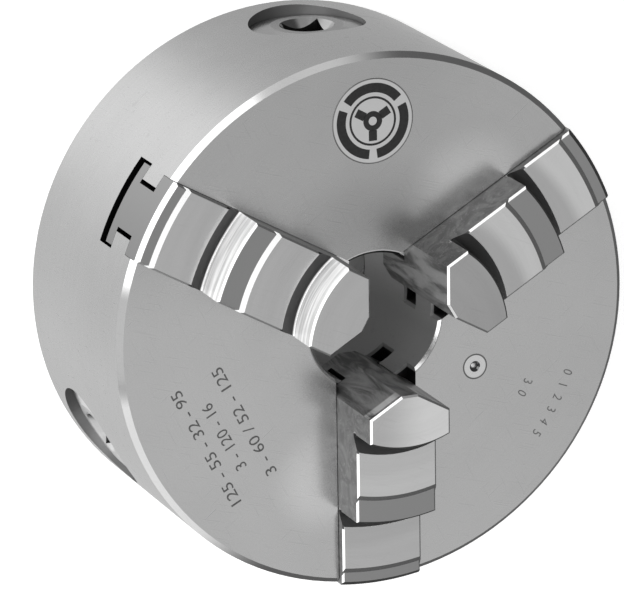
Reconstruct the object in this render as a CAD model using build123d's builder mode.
"""Three-jaw self-centring lathe chuck, 125 mm, with an internal scroll and three bevel pinions.

Millimetres. The origin is the centre of the rear face and +Z points out of the jaws' face.
"""
from build123d import *
import os
from math import acos, cos, pi, radians, sin, sqrt, tan

os.makedirs("parts", exist_ok=True)

# ---- Body -------------------------------------------------------------------------------
body_radius = 62.5
body_height = 55.0
bore_radius = 16.0
face_chamfer = 1.3
outer_rear_chamfer = 0.9
rear_chamfer = 0.5
bore_mouth_chamfer = 0.6
seam_chamfer = 0.25

jaw_angles = (30, 150, 270)
pinion_angles = (90, 210, 330)

# Rear register and the tapped holes that bolt the chuck to its backplate.
register_radius = 47.5
register_depth = 4.0
mount_circle_radius = 54.0
mount_tap_radius = 3.4
mount_tap_depth = 16.0

# Cavity for the scroll, open to the rear, around the hub that carries the bore.
cavity_radius = 46.9
cavity_ceiling = 38.7
hub_radius = 26.0
hub_end = 13.0

# Jaw slot, as half widths across the slot.
slot_half_width = 9.9
tongue_half_gap = 6.5
foot_slot_half_width = 10.5
tongue_top = 50.3
tongue_bottom = 42.2
slot_floor = 35.5

# ---- Scroll -----------------------------------------------------------------------------
scroll_pitch = 8.0
groove_width = 4.4
groove_start = 19.0
spiral_half_turns = 7
scroll_radius = 46.6
scroll_bore_radius = hub_radius + 0.05
scroll_back = 27.1
scroll_root = 35.6
scroll_crest = 38.4

# ---- Bevel gears: cones that all meet where the pinion axes cross the chuck's axis ---------
pinion_height = 18.4
pinion_teeth = 10
scroll_teeth = 45
gear_outer = 46.0
gear_inner = 35.3
pressure_angle = 20.0
backlash = 0.36
pitch_radius = gear_outer * pinion_teeth / scroll_teeth
module = 2 * pitch_radius / pinion_teeth
pinion_addendum = 1.30 * module
scroll_addendum = 0.60 * module
root_clearance = 0.25 * module
pinion_tip_radius = pitch_radius + pinion_addendum
pinion_root_radius = pitch_radius - scroll_addendum - root_clearance
scroll_tip_height = pitch_radius - scroll_addendum
scroll_gear_root_height = pitch_radius + pinion_addendum + root_clearance
tooth_thickness = pi * module / 2 + 2 * 0.35 * module * tan(radians(pressure_angle))
gear_ring_inner = 34.9

# ---- Pinion: its head ends in a low cone, as a crown around the key socket --------------------
pinion_hole_radius = 13.55
head_radius = 13.5
head_start = 47.4
head_end = 60.9
crown_rise = 1.1
crown_radius = 8.5
journal_chamfer = 0.6
neck_radius = 8.4
journal_radius = 5.8
journal_end = 26.6
retaining_groove = (52.4, 55.6)
retaining_groove_radius = 12.2
key_square = 9.0
key_depth = 12.0
key_countersink_radius = 6.4

# ---- Rear cover -------------------------------------------------------------------------
cover_rear = register_depth
boss_inner_radius = hub_radius + 0.1
boss_outer_radius = 34.3
boss_top = 27.0
journal_hole_start = 25.3
journal_hole_radius = journal_radius + 0.05
gear_pocket_radius = 13.35
gear_pocket_start = 34.6
screw_circle_radius = 21.25
screw_count = 6
screw_head_radius = 4.25
screw_head_height = 5.0
screw_seat = 9.5
screw_counterbore_radius = 4.5
screw_clearance_radius = 2.75
screw_shank_radius = 2.45
screw_thread_radius = 2.1
screw_tap_radius = 2.15
screw_tip = 24.0
screw_hole_tip = 25.5
screw_hex = 4.0
screw_hex_depth = 2.8

# ---- Set screws that keep the pinions in --------------------------------------------------
set_screw_radius = 2.5
set_screw_rear = 0.4
set_screw_shoulder = 4.6
set_screw_dog_radius = 1.4
set_screw_dog_tip = 6.0
set_screw_hex = 3.0
set_screw_hex_depth = 2.4

# ---- Jaws, at the radius where their outer ends are level with the body ---------------------
jaw_half_width = 9.8
jaw_neck_half_width = 5.45
jaw_foot_bottom = 38.6
jaw_groove_bottom = 42.1
jaw_groove_top = 50.4
jaw_tooth_tip = 35.8
jaw_tooth_thickness = 3.6
jaw_top = body_height + 19.05
jaw_tip = 12.1
jaw_tip_half_width = 2.0
jaw_outer_radius = 62.5
jaw_edge_chamfer = 0.45
# Each gripping step is an arc about the chuck's axis: wall, relief, ground flat, slope, ledge.
# The relief ends in a round bead: outwards from the wall, above the relief's floor, and radius.
step_walls = (24.5, 44.7)
step_flats = (body_height + 11.4, body_height + 2.5)
step_flat_starts = (28.2, 48.2)
step_flat_ends = (38.05, 58.1)
step_ledges = (body_height + 10.8, body_height + 1.94)
relief_depth = 2.0
relief_floor = 0.7
relief_bead = (0.15, 0.6, 0.75)
slope_length = 1.15
outer_end_chamfer = 1.0

# ---- Lubrication fitting and the round plate on the face ----------------------------------
oiler_angle = -30
oiler_distance = 28.7
oiler_radius = 3.05
oiler_length = 6.5
oiler_bore_radius = 1.35
oiler_mouth_radius = 0.85
oiler_dimple_radius = 1.3
oiler_dimple_depth = 0.45
oiler_seat_drop = 0.9
oiler_ball_radius = 1.2
oiler_floor = 0.6
oiler_passage_radius = 1.25
spring_wire_radius = 0.15
spring_radius = 0.95
spring_turns = 5
plate_centre = (0, 47.0)
plate_radius = 9.85
plate_thickness = 0.5
plate_stand = 0.05
plate_clearance = 0.05


def radial(angle):
    """Unit vector that points away from the chuck's axis at this angle."""
    return Vector(cos(radians(angle)), sin(radians(angle)), 0)


def plan_plane(angle, height):
    """Plane parallel to the face: x runs out along the radius, y along the tangent."""
    return Plane(origin=(0, 0, height), x_dir=radial(angle), z_dir=(0, 0, 1))


def profile_plane(angle):
    """Plane through the chuck's axis: x runs out along the radius, y is height."""
    return Plane(origin=(0, 0, 0), x_dir=radial(angle), z_dir=radial(angle - 90))


def section_plane(angle, distance, height=0.0):
    """Plane square to a radius: x runs along the tangent, y is up, and it faces outwards."""
    origin = radial(angle) * distance + Vector(0, 0, height)
    return Plane(origin=origin, x_dir=radial(angle + 90), z_dir=radial(angle))


def save(part, name):
    """Label a finished piece and write it as its own STEP file."""
    part.label = name
    export_step(part, f"parts/{name}.step")


def build_body():
    """Steel body: one revolved shell, then slots, pinion holes and drilled holes."""
    with BuildPart() as body:
        with BuildSketch(profile_plane(0)):
            with BuildLine():
                Polyline(
                    (register_radius + rear_chamfer, 0),
                    (register_radius, rear_chamfer),
                    (register_radius, register_depth),
                    (cavity_radius, register_depth),
                    (cavity_radius, cavity_ceiling),
                    (hub_radius, cavity_ceiling),
                    (hub_radius, hub_end),
                    (bore_radius + seam_chamfer, hub_end),
                    (bore_radius, hub_end + seam_chamfer),
                    (bore_radius, body_height - bore_mouth_chamfer),
                    (bore_radius + bore_mouth_chamfer, body_height),
                    (body_radius - face_chamfer, body_height),
                    (body_radius, body_height - face_chamfer),
                    (body_radius, outer_rear_chamfer),
                    (body_radius - outer_rear_chamfer, 0),
                    close=True,
                )
            make_face()
        revolve(axis=Axis.Z)

        for angle in jaw_angles:
            with BuildSketch(section_plane(angle, 0)):
                with Locations((0, slot_floor)):
                    Rectangle(
                        2 * foot_slot_half_width,
                        tongue_bottom - slot_floor,
                        align=(Align.CENTER, Align.MIN),
                    )
                    Rectangle(
                        2 * tongue_half_gap,
                        body_height - slot_floor,
                        align=(Align.CENTER, Align.MIN),
                    )
                with Locations((0, tongue_top)):
                    Rectangle(
                        2 * slot_half_width,
                        body_height - tongue_top,
                        align=(Align.CENTER, Align.MIN),
                    )
            extrude(amount=body_radius + 1, mode=Mode.SUBTRACT)

        for angle in pinion_angles:
            with BuildSketch(section_plane(angle, hub_radius + 1, pinion_height)):
                Circle(pinion_hole_radius)
            extrude(amount=body_radius, mode=Mode.SUBTRACT)

        with BuildSketch(Plane.XY):
            with PolarLocations(mount_circle_radius, len(jaw_angles), start_angle=jaw_angles[0]):
                Circle(mount_tap_radius)
        extrude(amount=mount_tap_depth, mode=Mode.SUBTRACT)
        mount_mouths = body.edges().filter_by(
            lambda edge: edge.geom_type == GeomType.CIRCLE
            and abs(edge.radius - mount_tap_radius) < 0.01
            and abs(edge.center().Z) < 0.01
        )
        chamfer(mount_mouths, rear_chamfer)

        with BuildSketch(Plane.XY):
            with PolarLocations(mount_circle_radius, len(pinion_angles), start_angle=pinion_angles[0]):
                Circle(set_screw_radius)
        extrude(amount=set_screw_dog_tip, mode=Mode.SUBTRACT)

        with BuildSketch(Plane.XY.offset(hub_end)):
            with PolarLocations(screw_circle_radius, screw_count):
                Circle(screw_tap_radius)
        extrude(amount=screw_hole_tip - hub_end, mode=Mode.SUBTRACT)

        face = Plane.XY.offset(body_height)
        oiler_centre = radial(oiler_angle) * oiler_distance
        with BuildSketch(face):
            with Locations(oiler_centre):
                Circle(oiler_radius)
        extrude(amount=-oiler_length, mode=Mode.SUBTRACT)
        with BuildSketch(face):
            with Locations(oiler_centre):
                Circle(oiler_passage_radius)
        extrude(amount=-(body_height - cavity_ceiling), mode=Mode.SUBTRACT)

        with BuildSketch(face):
            with Locations(plate_centre):
                Circle(plate_radius + plate_clearance)
        extrude(amount=-plate_thickness, mode=Mode.SUBTRACT)
    return body.part


def build_cover():
    """Rear cover: a plate with a boss that carries the scroll and the pinions' inner ends."""
    with BuildPart() as cover:
        with BuildSketch(profile_plane(0)):
            with BuildLine():
                Polyline(
                    (bore_radius + seam_chamfer, cover_rear),
                    (bore_radius, cover_rear + seam_chamfer),
                    (bore_radius, hub_end - seam_chamfer),
                    (bore_radius + seam_chamfer, hub_end),
                    (boss_inner_radius, hub_end),
                    (boss_inner_radius, boss_top),
                    (boss_outer_radius, boss_top),
                    (boss_outer_radius, hub_end),
                    (cavity_radius, hub_end),
                    (cavity_radius, cover_rear + rear_chamfer),
                    (cavity_radius - rear_chamfer, cover_rear),
                    close=True,
                )
            make_face()
        revolve(axis=Axis.Z)

        for angle in pinion_angles:
            with BuildSketch(section_plane(angle, journal_hole_start, pinion_height)):
                Circle(journal_hole_radius)
            extrude(amount=gear_pocket_start - journal_hole_start + 1, mode=Mode.SUBTRACT)
            with BuildSketch(section_plane(angle, gear_pocket_start, pinion_height)):
                Circle(gear_pocket_radius)
            extrude(amount=cavity_radius, mode=Mode.SUBTRACT)

        with BuildSketch(Plane.XY.offset(cover_rear)):
            with PolarLocations(screw_circle_radius, screw_count):
                Circle(screw_counterbore_radius)
        extrude(amount=screw_seat - cover_rear, mode=Mode.SUBTRACT)
        with BuildSketch(Plane.XY.offset(cover_rear)):
            with PolarLocations(screw_circle_radius, screw_count):
                Circle(screw_clearance_radius)
        extrude(amount=hub_end - cover_rear, mode=Mode.SUBTRACT)
    return cover.part


def spiral_point(turn, offset):
    """Point on an Archimedean spiral, this far outside the centre of the scroll's groove."""
    return radial(360 * turn) * (groove_start + offset + scroll_pitch * turn)


def spiral_edge(offset):
    """Draw one edge of the scroll's thread, as a spline for each half turn."""
    points_per_half = 12
    for half_turn in range(spiral_half_turns):
        steps = [half_turn / 2 + step / (2 * points_per_half) for step in range(points_per_half + 1)]
        Spline(*[spiral_point(turn, offset) for turn in steps])


def scroll_space_points(distance):
    """Corners of one tooth space in the scroll's bevel ring, in a plane square to its radius."""
    scale = distance / gear_outer
    half_at_pitch = (tooth_thickness + backlash) / 2
    low = scroll_tip_height - module
    high = scroll_gear_root_height
    slope = tan(radians(pressure_angle))
    low_half = half_at_pitch + (pitch_radius - low) * slope
    high_half = half_at_pitch - (high - pitch_radius) * slope
    corners = ((-low_half, low), (low_half, low), (high_half, high), (-high_half, high))
    return [(x * scale, y * scale) for x, y in corners]


def build_scroll():
    """Scroll plate: spiral thread in front for the jaws, bevel teeth behind for the pinions."""
    tip_slope = scroll_tip_height / gear_outer
    with BuildPart() as tooth_space:
        for distance in (gear_pocket_start, scroll_radius + 1):
            with BuildSketch(section_plane(0, distance, pinion_height)):
                Polygon(*scroll_space_points(distance), align=None)
        loft(ruled=True)

    inner_side = scroll_pitch / 2 - (scroll_pitch - groove_width) / 2
    outer_side = scroll_pitch / 2 + (scroll_pitch - groove_width) / 2
    thread_height = scroll_crest - scroll_root
    with BuildPart() as thread:
        with BuildSketch(Plane.XY.offset(scroll_root)):
            with BuildLine():
                spiral_edge(inner_side)
                spiral_edge(outer_side)
                for turn in (0, spiral_half_turns / 2):
                    Line(spiral_point(turn, inner_side), spiral_point(turn, outer_side))
            make_face()
        extrude(amount=thread_height)
        with BuildSketch(Plane.XY.offset(scroll_root)):
            Circle(body_radius)
            Circle(scroll_radius, mode=Mode.SUBTRACT)
            Circle(scroll_bore_radius)
        extrude(amount=thread_height, mode=Mode.SUBTRACT)

    with BuildPart() as scroll:
        with BuildSketch(profile_plane(0)):
            with BuildLine():
                Polyline(
                    (scroll_bore_radius, scroll_back),
                    (gear_pocket_start, scroll_back),
                    (gear_ring_inner, pinion_height + gear_ring_inner * tip_slope),
                    (scroll_radius, pinion_height + scroll_radius * tip_slope),
                    (scroll_radius, scroll_root),
                    (scroll_bore_radius, scroll_root),
                    close=True,
                )
            make_face()
        revolve(axis=Axis.Z)

        add(thread.part)
        with PolarLocations(0, scroll_teeth, start_angle=pinion_angles[0]):
            add(tooth_space.part, mode=Mode.SUBTRACT)
    return scroll.part


def involute_half_angle(radius):
    """Half the angle that a pinion tooth spans at this radius, on its outer end section."""
    base_radius = pitch_radius * cos(radians(pressure_angle))
    working = max(radius, base_radius)
    roll = acos(base_radius / working)
    at_pitch = tan(radians(pressure_angle)) - radians(pressure_angle)
    return tooth_thickness / (2 * pitch_radius) + at_pitch - (tan(roll) - roll)


def pinion_tooth_points(distance):
    """Outline of the bevel pinion, in a plane square to its axis and scaled by the distance."""
    scale = distance / gear_outer
    base_radius = pitch_radius * cos(radians(pressure_angle))
    flank = (pinion_root_radius, base_radius, pitch_radius + 0.4, pitch_radius + 1.5, pinion_tip_radius)
    points = []
    for tooth in range(pinion_teeth):
        middle = pi / 2 - 2 * pi * tooth / pinion_teeth
        for radius in flank:
            turned = middle + involute_half_angle(radius)
            points.append((scale * radius * cos(turned), scale * radius * sin(turned)))
        for radius in reversed(flank):
            turned = middle - involute_half_angle(radius)
            points.append((scale * radius * cos(turned), scale * radius * sin(turned)))
    return points


def build_pinion(angle):
    """Key pinion: journal, bevel gear, neck, and a head with a square key socket."""
    with BuildPart() as pinion:
        for distance in (gear_inner, gear_outer):
            with BuildSketch(section_plane(angle, distance, pinion_height)):
                Polygon(*pinion_tooth_points(distance), align=None)
        loft(ruled=True)
        with BuildSketch(section_plane(angle, journal_end, pinion_height)):
            Circle(journal_radius)
        extrude(amount=gear_outer - journal_end)
        with BuildSketch(section_plane(angle, gear_outer, pinion_height)):
            Circle(neck_radius)
        extrude(amount=head_start - gear_outer)
        with BuildSketch(section_plane(angle, head_start, pinion_height)):
            Circle(head_radius)
        extrude(amount=head_end - crown_rise - head_start)

        axis = Axis(section_plane(angle, 0, pinion_height).origin, radial(angle))
        inner_face = pinion.faces().sort_by(axis)[0]
        chamfer(inner_face.edges(), journal_chamfer)
        with Locations(section_plane(angle, head_end - crown_rise, pinion_height)):
            Cone(
                bottom_radius=head_radius,
                top_radius=crown_radius,
                height=crown_rise,
                align=(Align.CENTER, Align.CENTER, Align.MIN),
            )

        groove_start_at, groove_end_at = retaining_groove
        with BuildSketch(section_plane(angle, groove_start_at, pinion_height)):
            Circle(head_radius + 1)
            Circle(retaining_groove_radius, mode=Mode.SUBTRACT)
        extrude(amount=groove_end_at - groove_start_at, mode=Mode.SUBTRACT)

        with BuildSketch(section_plane(angle, head_end, pinion_height)):
            Rectangle(key_square, key_square)
        extrude(amount=-key_depth, mode=Mode.SUBTRACT)
        with Locations(section_plane(angle, head_end, pinion_height)):
            Cone(
                bottom_radius=key_square / 2,
                top_radius=key_countersink_radius,
                height=key_countersink_radius - key_square / 2,
                align=(Align.CENTER, Align.CENTER, Align.MAX),
                mode=Mode.SUBTRACT,
            )
    return pinion.part


def jaw_outline():
    """Plan of a jaw: a 120 degree nose with a narrow flat, straight sides and a round end."""
    nose_length = (jaw_half_width - jaw_tip_half_width) * tan(radians(30))
    end = sqrt(jaw_outer_radius**2 - jaw_half_width**2)
    Polyline(
        (end, -jaw_half_width),
        (jaw_tip + nose_length, -jaw_half_width),
        (jaw_tip, -jaw_tip_half_width),
        (jaw_tip, jaw_tip_half_width),
        (jaw_tip + nose_length, jaw_half_width),
        (end, jaw_half_width),
    )
    ThreePointArc((end, jaw_half_width), (jaw_outer_radius, 0), (end, -jaw_half_width))


def tooth_face(middle, offset, arc_radius):
    """One side of a jaw tooth: an arc that leans with the spiral, as points across the jaw.

    The outer side is curved as tightly as the scroll's innermost turn and the inner side as
    gently as its outermost, so that the tooth fits the groove wherever the jaw stands.
    """
    lean = scroll_pitch / (2 * pi) * (1 / scroll_bore_radius + 1 / scroll_radius) / 2
    points = []
    for across in (-jaw_half_width, 0, jaw_half_width):
        sag = arc_radius - sqrt(arc_radius**2 - across**2)
        points.append((middle + offset + lean * across - sag, across))
    return points


def step_profile():
    """Half section of all that is turned away above the jaw's two outer steps."""
    points = [(step_walls[0], jaw_top + 1)]
    for wall, flat, start, end, ledge in zip(
        step_walls, step_flats, step_flat_starts, step_flat_ends, step_ledges
    ):
        points.append((wall, flat - relief_depth))
        points.append((wall + relief_floor, flat - relief_depth))
        points.append((start, flat))
        points.append((end, flat))
        points.append((end + slope_length, ledge))
        if wall == step_walls[0]:
            points.append((step_walls[1] - jaw_edge_chamfer, ledge))
            points.append((step_walls[1], ledge - jaw_edge_chamfer))
    points.append((jaw_outer_radius - outer_end_chamfer, step_ledges[1]))
    points.append((jaw_outer_radius + 1, step_ledges[1] - outer_end_chamfer - 1))
    points.append((jaw_outer_radius + 1, jaw_top + 1))
    return points


def build_jaw(angle):
    """Stepped jaw in one piece, with arc teeth under its foot that fit the scroll's groove."""
    with BuildPart() as jaw:
        with BuildSketch(plan_plane(angle, jaw_foot_bottom)):
            with BuildLine():
                jaw_outline()
            make_face()
        extrude(amount=jaw_top - jaw_foot_bottom)

        side_cut = jaw_half_width - jaw_neck_half_width + 1
        side_middle = jaw_neck_half_width + side_cut / 2
        with BuildSketch(section_plane(angle, 0)):
            with Locations((-side_middle, jaw_groove_bottom), (side_middle, jaw_groove_bottom)):
                Rectangle(side_cut, jaw_groove_top - jaw_groove_bottom, align=(Align.CENTER, Align.MIN))
        extrude(amount=jaw_outer_radius + 1, mode=Mode.SUBTRACT)

        with BuildSketch(profile_plane(angle)):
            with BuildLine():
                Polyline(*step_profile(), close=True)
            make_face()
            bead_out, bead_up, bead_radius = relief_bead
            for wall, flat in zip(step_walls, step_flats):
                with Locations((wall + bead_out, flat - relief_depth + bead_up)):
                    Circle(bead_radius)
        revolve(axis=Axis.Z, mode=Mode.SUBTRACT)

        chamfer(jaw.faces().sort_by(Axis.Z)[-1].edges(), jaw_edge_chamfer)
        step_sides = (
            jaw.edges()
            .filter_by(Axis((0, 0, 0), radial(angle)))
            .filter_by(lambda edge: any(abs(edge.center().Z - z) < 0.01 for z in step_flats + step_ledges))
        )
        chamfer(step_sides, jaw_edge_chamfer)

        with BuildSketch(plan_plane(angle, jaw_tooth_tip)):
            first = groove_start + scroll_pitch * angle / 360
            half = jaw_tooth_thickness / 2
            for turn in range(-1, 6):
                middle = first + scroll_pitch * turn
                if not jaw_tip + half < middle < jaw_outer_radius - half:
                    continue
                outer = tooth_face(middle, half, scroll_bore_radius)
                inner = tooth_face(middle, -half, scroll_radius)
                with BuildLine():
                    ThreePointArc(*outer)
                    Line(outer[2], inner[2])
                    ThreePointArc(*inner)
                    Line(inner[0], outer[0])
                make_face()
            with BuildLine():
                jaw_outline()
            make_face(mode=Mode.INTERSECT)
        extrude(amount=jaw_foot_bottom - jaw_tooth_tip)
    return jaw.part


def build_cover_screw(angle):
    """Socket head cap screw that holds the rear cover to the hub."""
    centre = radial(angle) * screw_circle_radius
    head_rear = screw_seat - screw_head_height
    with BuildPart() as screw:
        with BuildSketch(Plane.XY.offset(head_rear)):
            with Locations(centre):
                Circle(screw_head_radius)
        extrude(amount=screw_head_height)
        chamfer(screw.edges().sort_by(Axis.Z)[0], rear_chamfer)
        with BuildSketch(Plane.XY.offset(screw_seat)):
            with Locations(centre):
                Circle(screw_shank_radius)
        extrude(amount=hub_end - screw_seat)
        with BuildSketch(Plane.XY.offset(hub_end)):
            with Locations(centre):
                Circle(screw_thread_radius)
        extrude(amount=screw_tip - hub_end)
        with BuildSketch(Plane.XY.offset(head_rear)):
            with Locations(centre):
                RegularPolygon(screw_hex / 2, 6, major_radius=False)
        extrude(amount=screw_hex_depth, mode=Mode.SUBTRACT)
    return screw.part


def build_set_screw(angle):
    """Dog point set screw whose tip stands in the groove around a pinion's head."""
    centre = radial(angle) * mount_circle_radius
    with BuildPart() as screw:
        with BuildSketch(Plane.XY.offset(set_screw_rear)):
            with Locations(centre):
                Circle(set_screw_radius)
                RegularPolygon(set_screw_hex / 2, 6, major_radius=False, mode=Mode.SUBTRACT)
        extrude(amount=set_screw_hex_depth)
        with BuildSketch(Plane.XY.offset(set_screw_rear + set_screw_hex_depth)):
            with Locations(centre):
                Circle(set_screw_radius)
        extrude(amount=set_screw_shoulder - set_screw_rear - set_screw_hex_depth)
        with BuildSketch(Plane.XY.offset(set_screw_shoulder)):
            with Locations(centre):
                Circle(set_screw_dog_radius)
        extrude(amount=set_screw_dog_tip - set_screw_shoulder)
    return screw.part


def oiler_plane(height):
    """Plane parallel to the face with its origin on the lubrication fitting's axis."""
    return Plane(origin=radial(oiler_angle) * oiler_distance + Vector(0, 0, height))


def build_oiler_body():
    """Flush ball oiler: a small pressed-in sleeve with a dimpled mouth and a spring seat."""
    rear = body_height - oiler_length
    with BuildPart() as oiler:
        with BuildSketch(oiler_plane(rear)):
            Circle(oiler_radius)
        extrude(amount=oiler_length)
        with BuildSketch(oiler_plane(rear + oiler_floor)):
            Circle(oiler_bore_radius)
        extrude(amount=oiler_length - oiler_floor - oiler_seat_drop, mode=Mode.SUBTRACT)
        with BuildSketch(oiler_plane(rear)):
            Circle(oiler_mouth_radius)
        extrude(amount=oiler_length, mode=Mode.SUBTRACT)
        with Locations(oiler_plane(body_height)):
            Cone(
                bottom_radius=oiler_mouth_radius,
                top_radius=oiler_dimple_radius,
                height=oiler_dimple_depth,
                align=(Align.CENTER, Align.CENTER, Align.MAX),
                mode=Mode.SUBTRACT,
            )
    return oiler.part


def oiler_ball_height():
    """Height of the ball's centre when the spring holds it just under its seat."""
    seat = body_height - oiler_seat_drop
    return seat - sqrt(oiler_ball_radius**2 - oiler_mouth_radius**2) - 0.05


def build_oiler_ball():
    """Ball that closes the oiler's mouth from inside."""
    with BuildPart() as ball:
        with Locations(oiler_plane(oiler_ball_height())):
            Sphere(oiler_ball_radius)
    return ball.part


def build_oiler_spring():
    """Compression spring between the oiler's floor and its ball."""
    bottom = body_height - oiler_length + oiler_floor + spring_wire_radius + 0.02
    contact_height = oiler_ball_height() - sqrt(oiler_ball_radius**2 - spring_radius**2)
    top = contact_height - 2 * spring_wire_radius
    length = top - bottom
    with BuildPart() as spring:
        with BuildLine(oiler_plane(bottom)):
            coil = Helix(pitch=length / spring_turns, height=length, radius=spring_radius)
        with BuildSketch(Plane(origin=coil @ 0, z_dir=coil % 0)):
            Circle(spring_wire_radius)
        sweep()
    return spring.part


def build_plate():
    """Thin round plate set flush into the face."""
    with BuildPart() as plate:
        with BuildSketch(Plane.XY.offset(body_height - plate_thickness)):
            with Locations(plate_centre):
                Circle(plate_radius)
        extrude(amount=plate_thickness + plate_stand)
        chamfer(plate.edges().sort_by(Axis.Z)[-1], plate_clearance)
    return plate.part


save(build_body(), "body")
save(build_cover(), "rear_cover")
save(build_scroll(), "scroll")
for number, pinion_angle in enumerate(pinion_angles, start=1):
    save(build_pinion(pinion_angle), f"pinion_{number}")
    save(build_set_screw(pinion_angle), f"pinion_set_screw_{number}")
for number, jaw_angle in enumerate(jaw_angles, start=1):
    save(build_jaw(jaw_angle), f"jaw_{number}")
for number in range(screw_count):
    save(build_cover_screw(number * 360 / screw_count), f"cover_screw_{number + 1}")
save(build_oiler_body(), "oiler_body")
save(build_oiler_ball(), "oiler_ball")
save(build_oiler_spring(), "oiler_spring")
save(build_plate(), "face_plate")
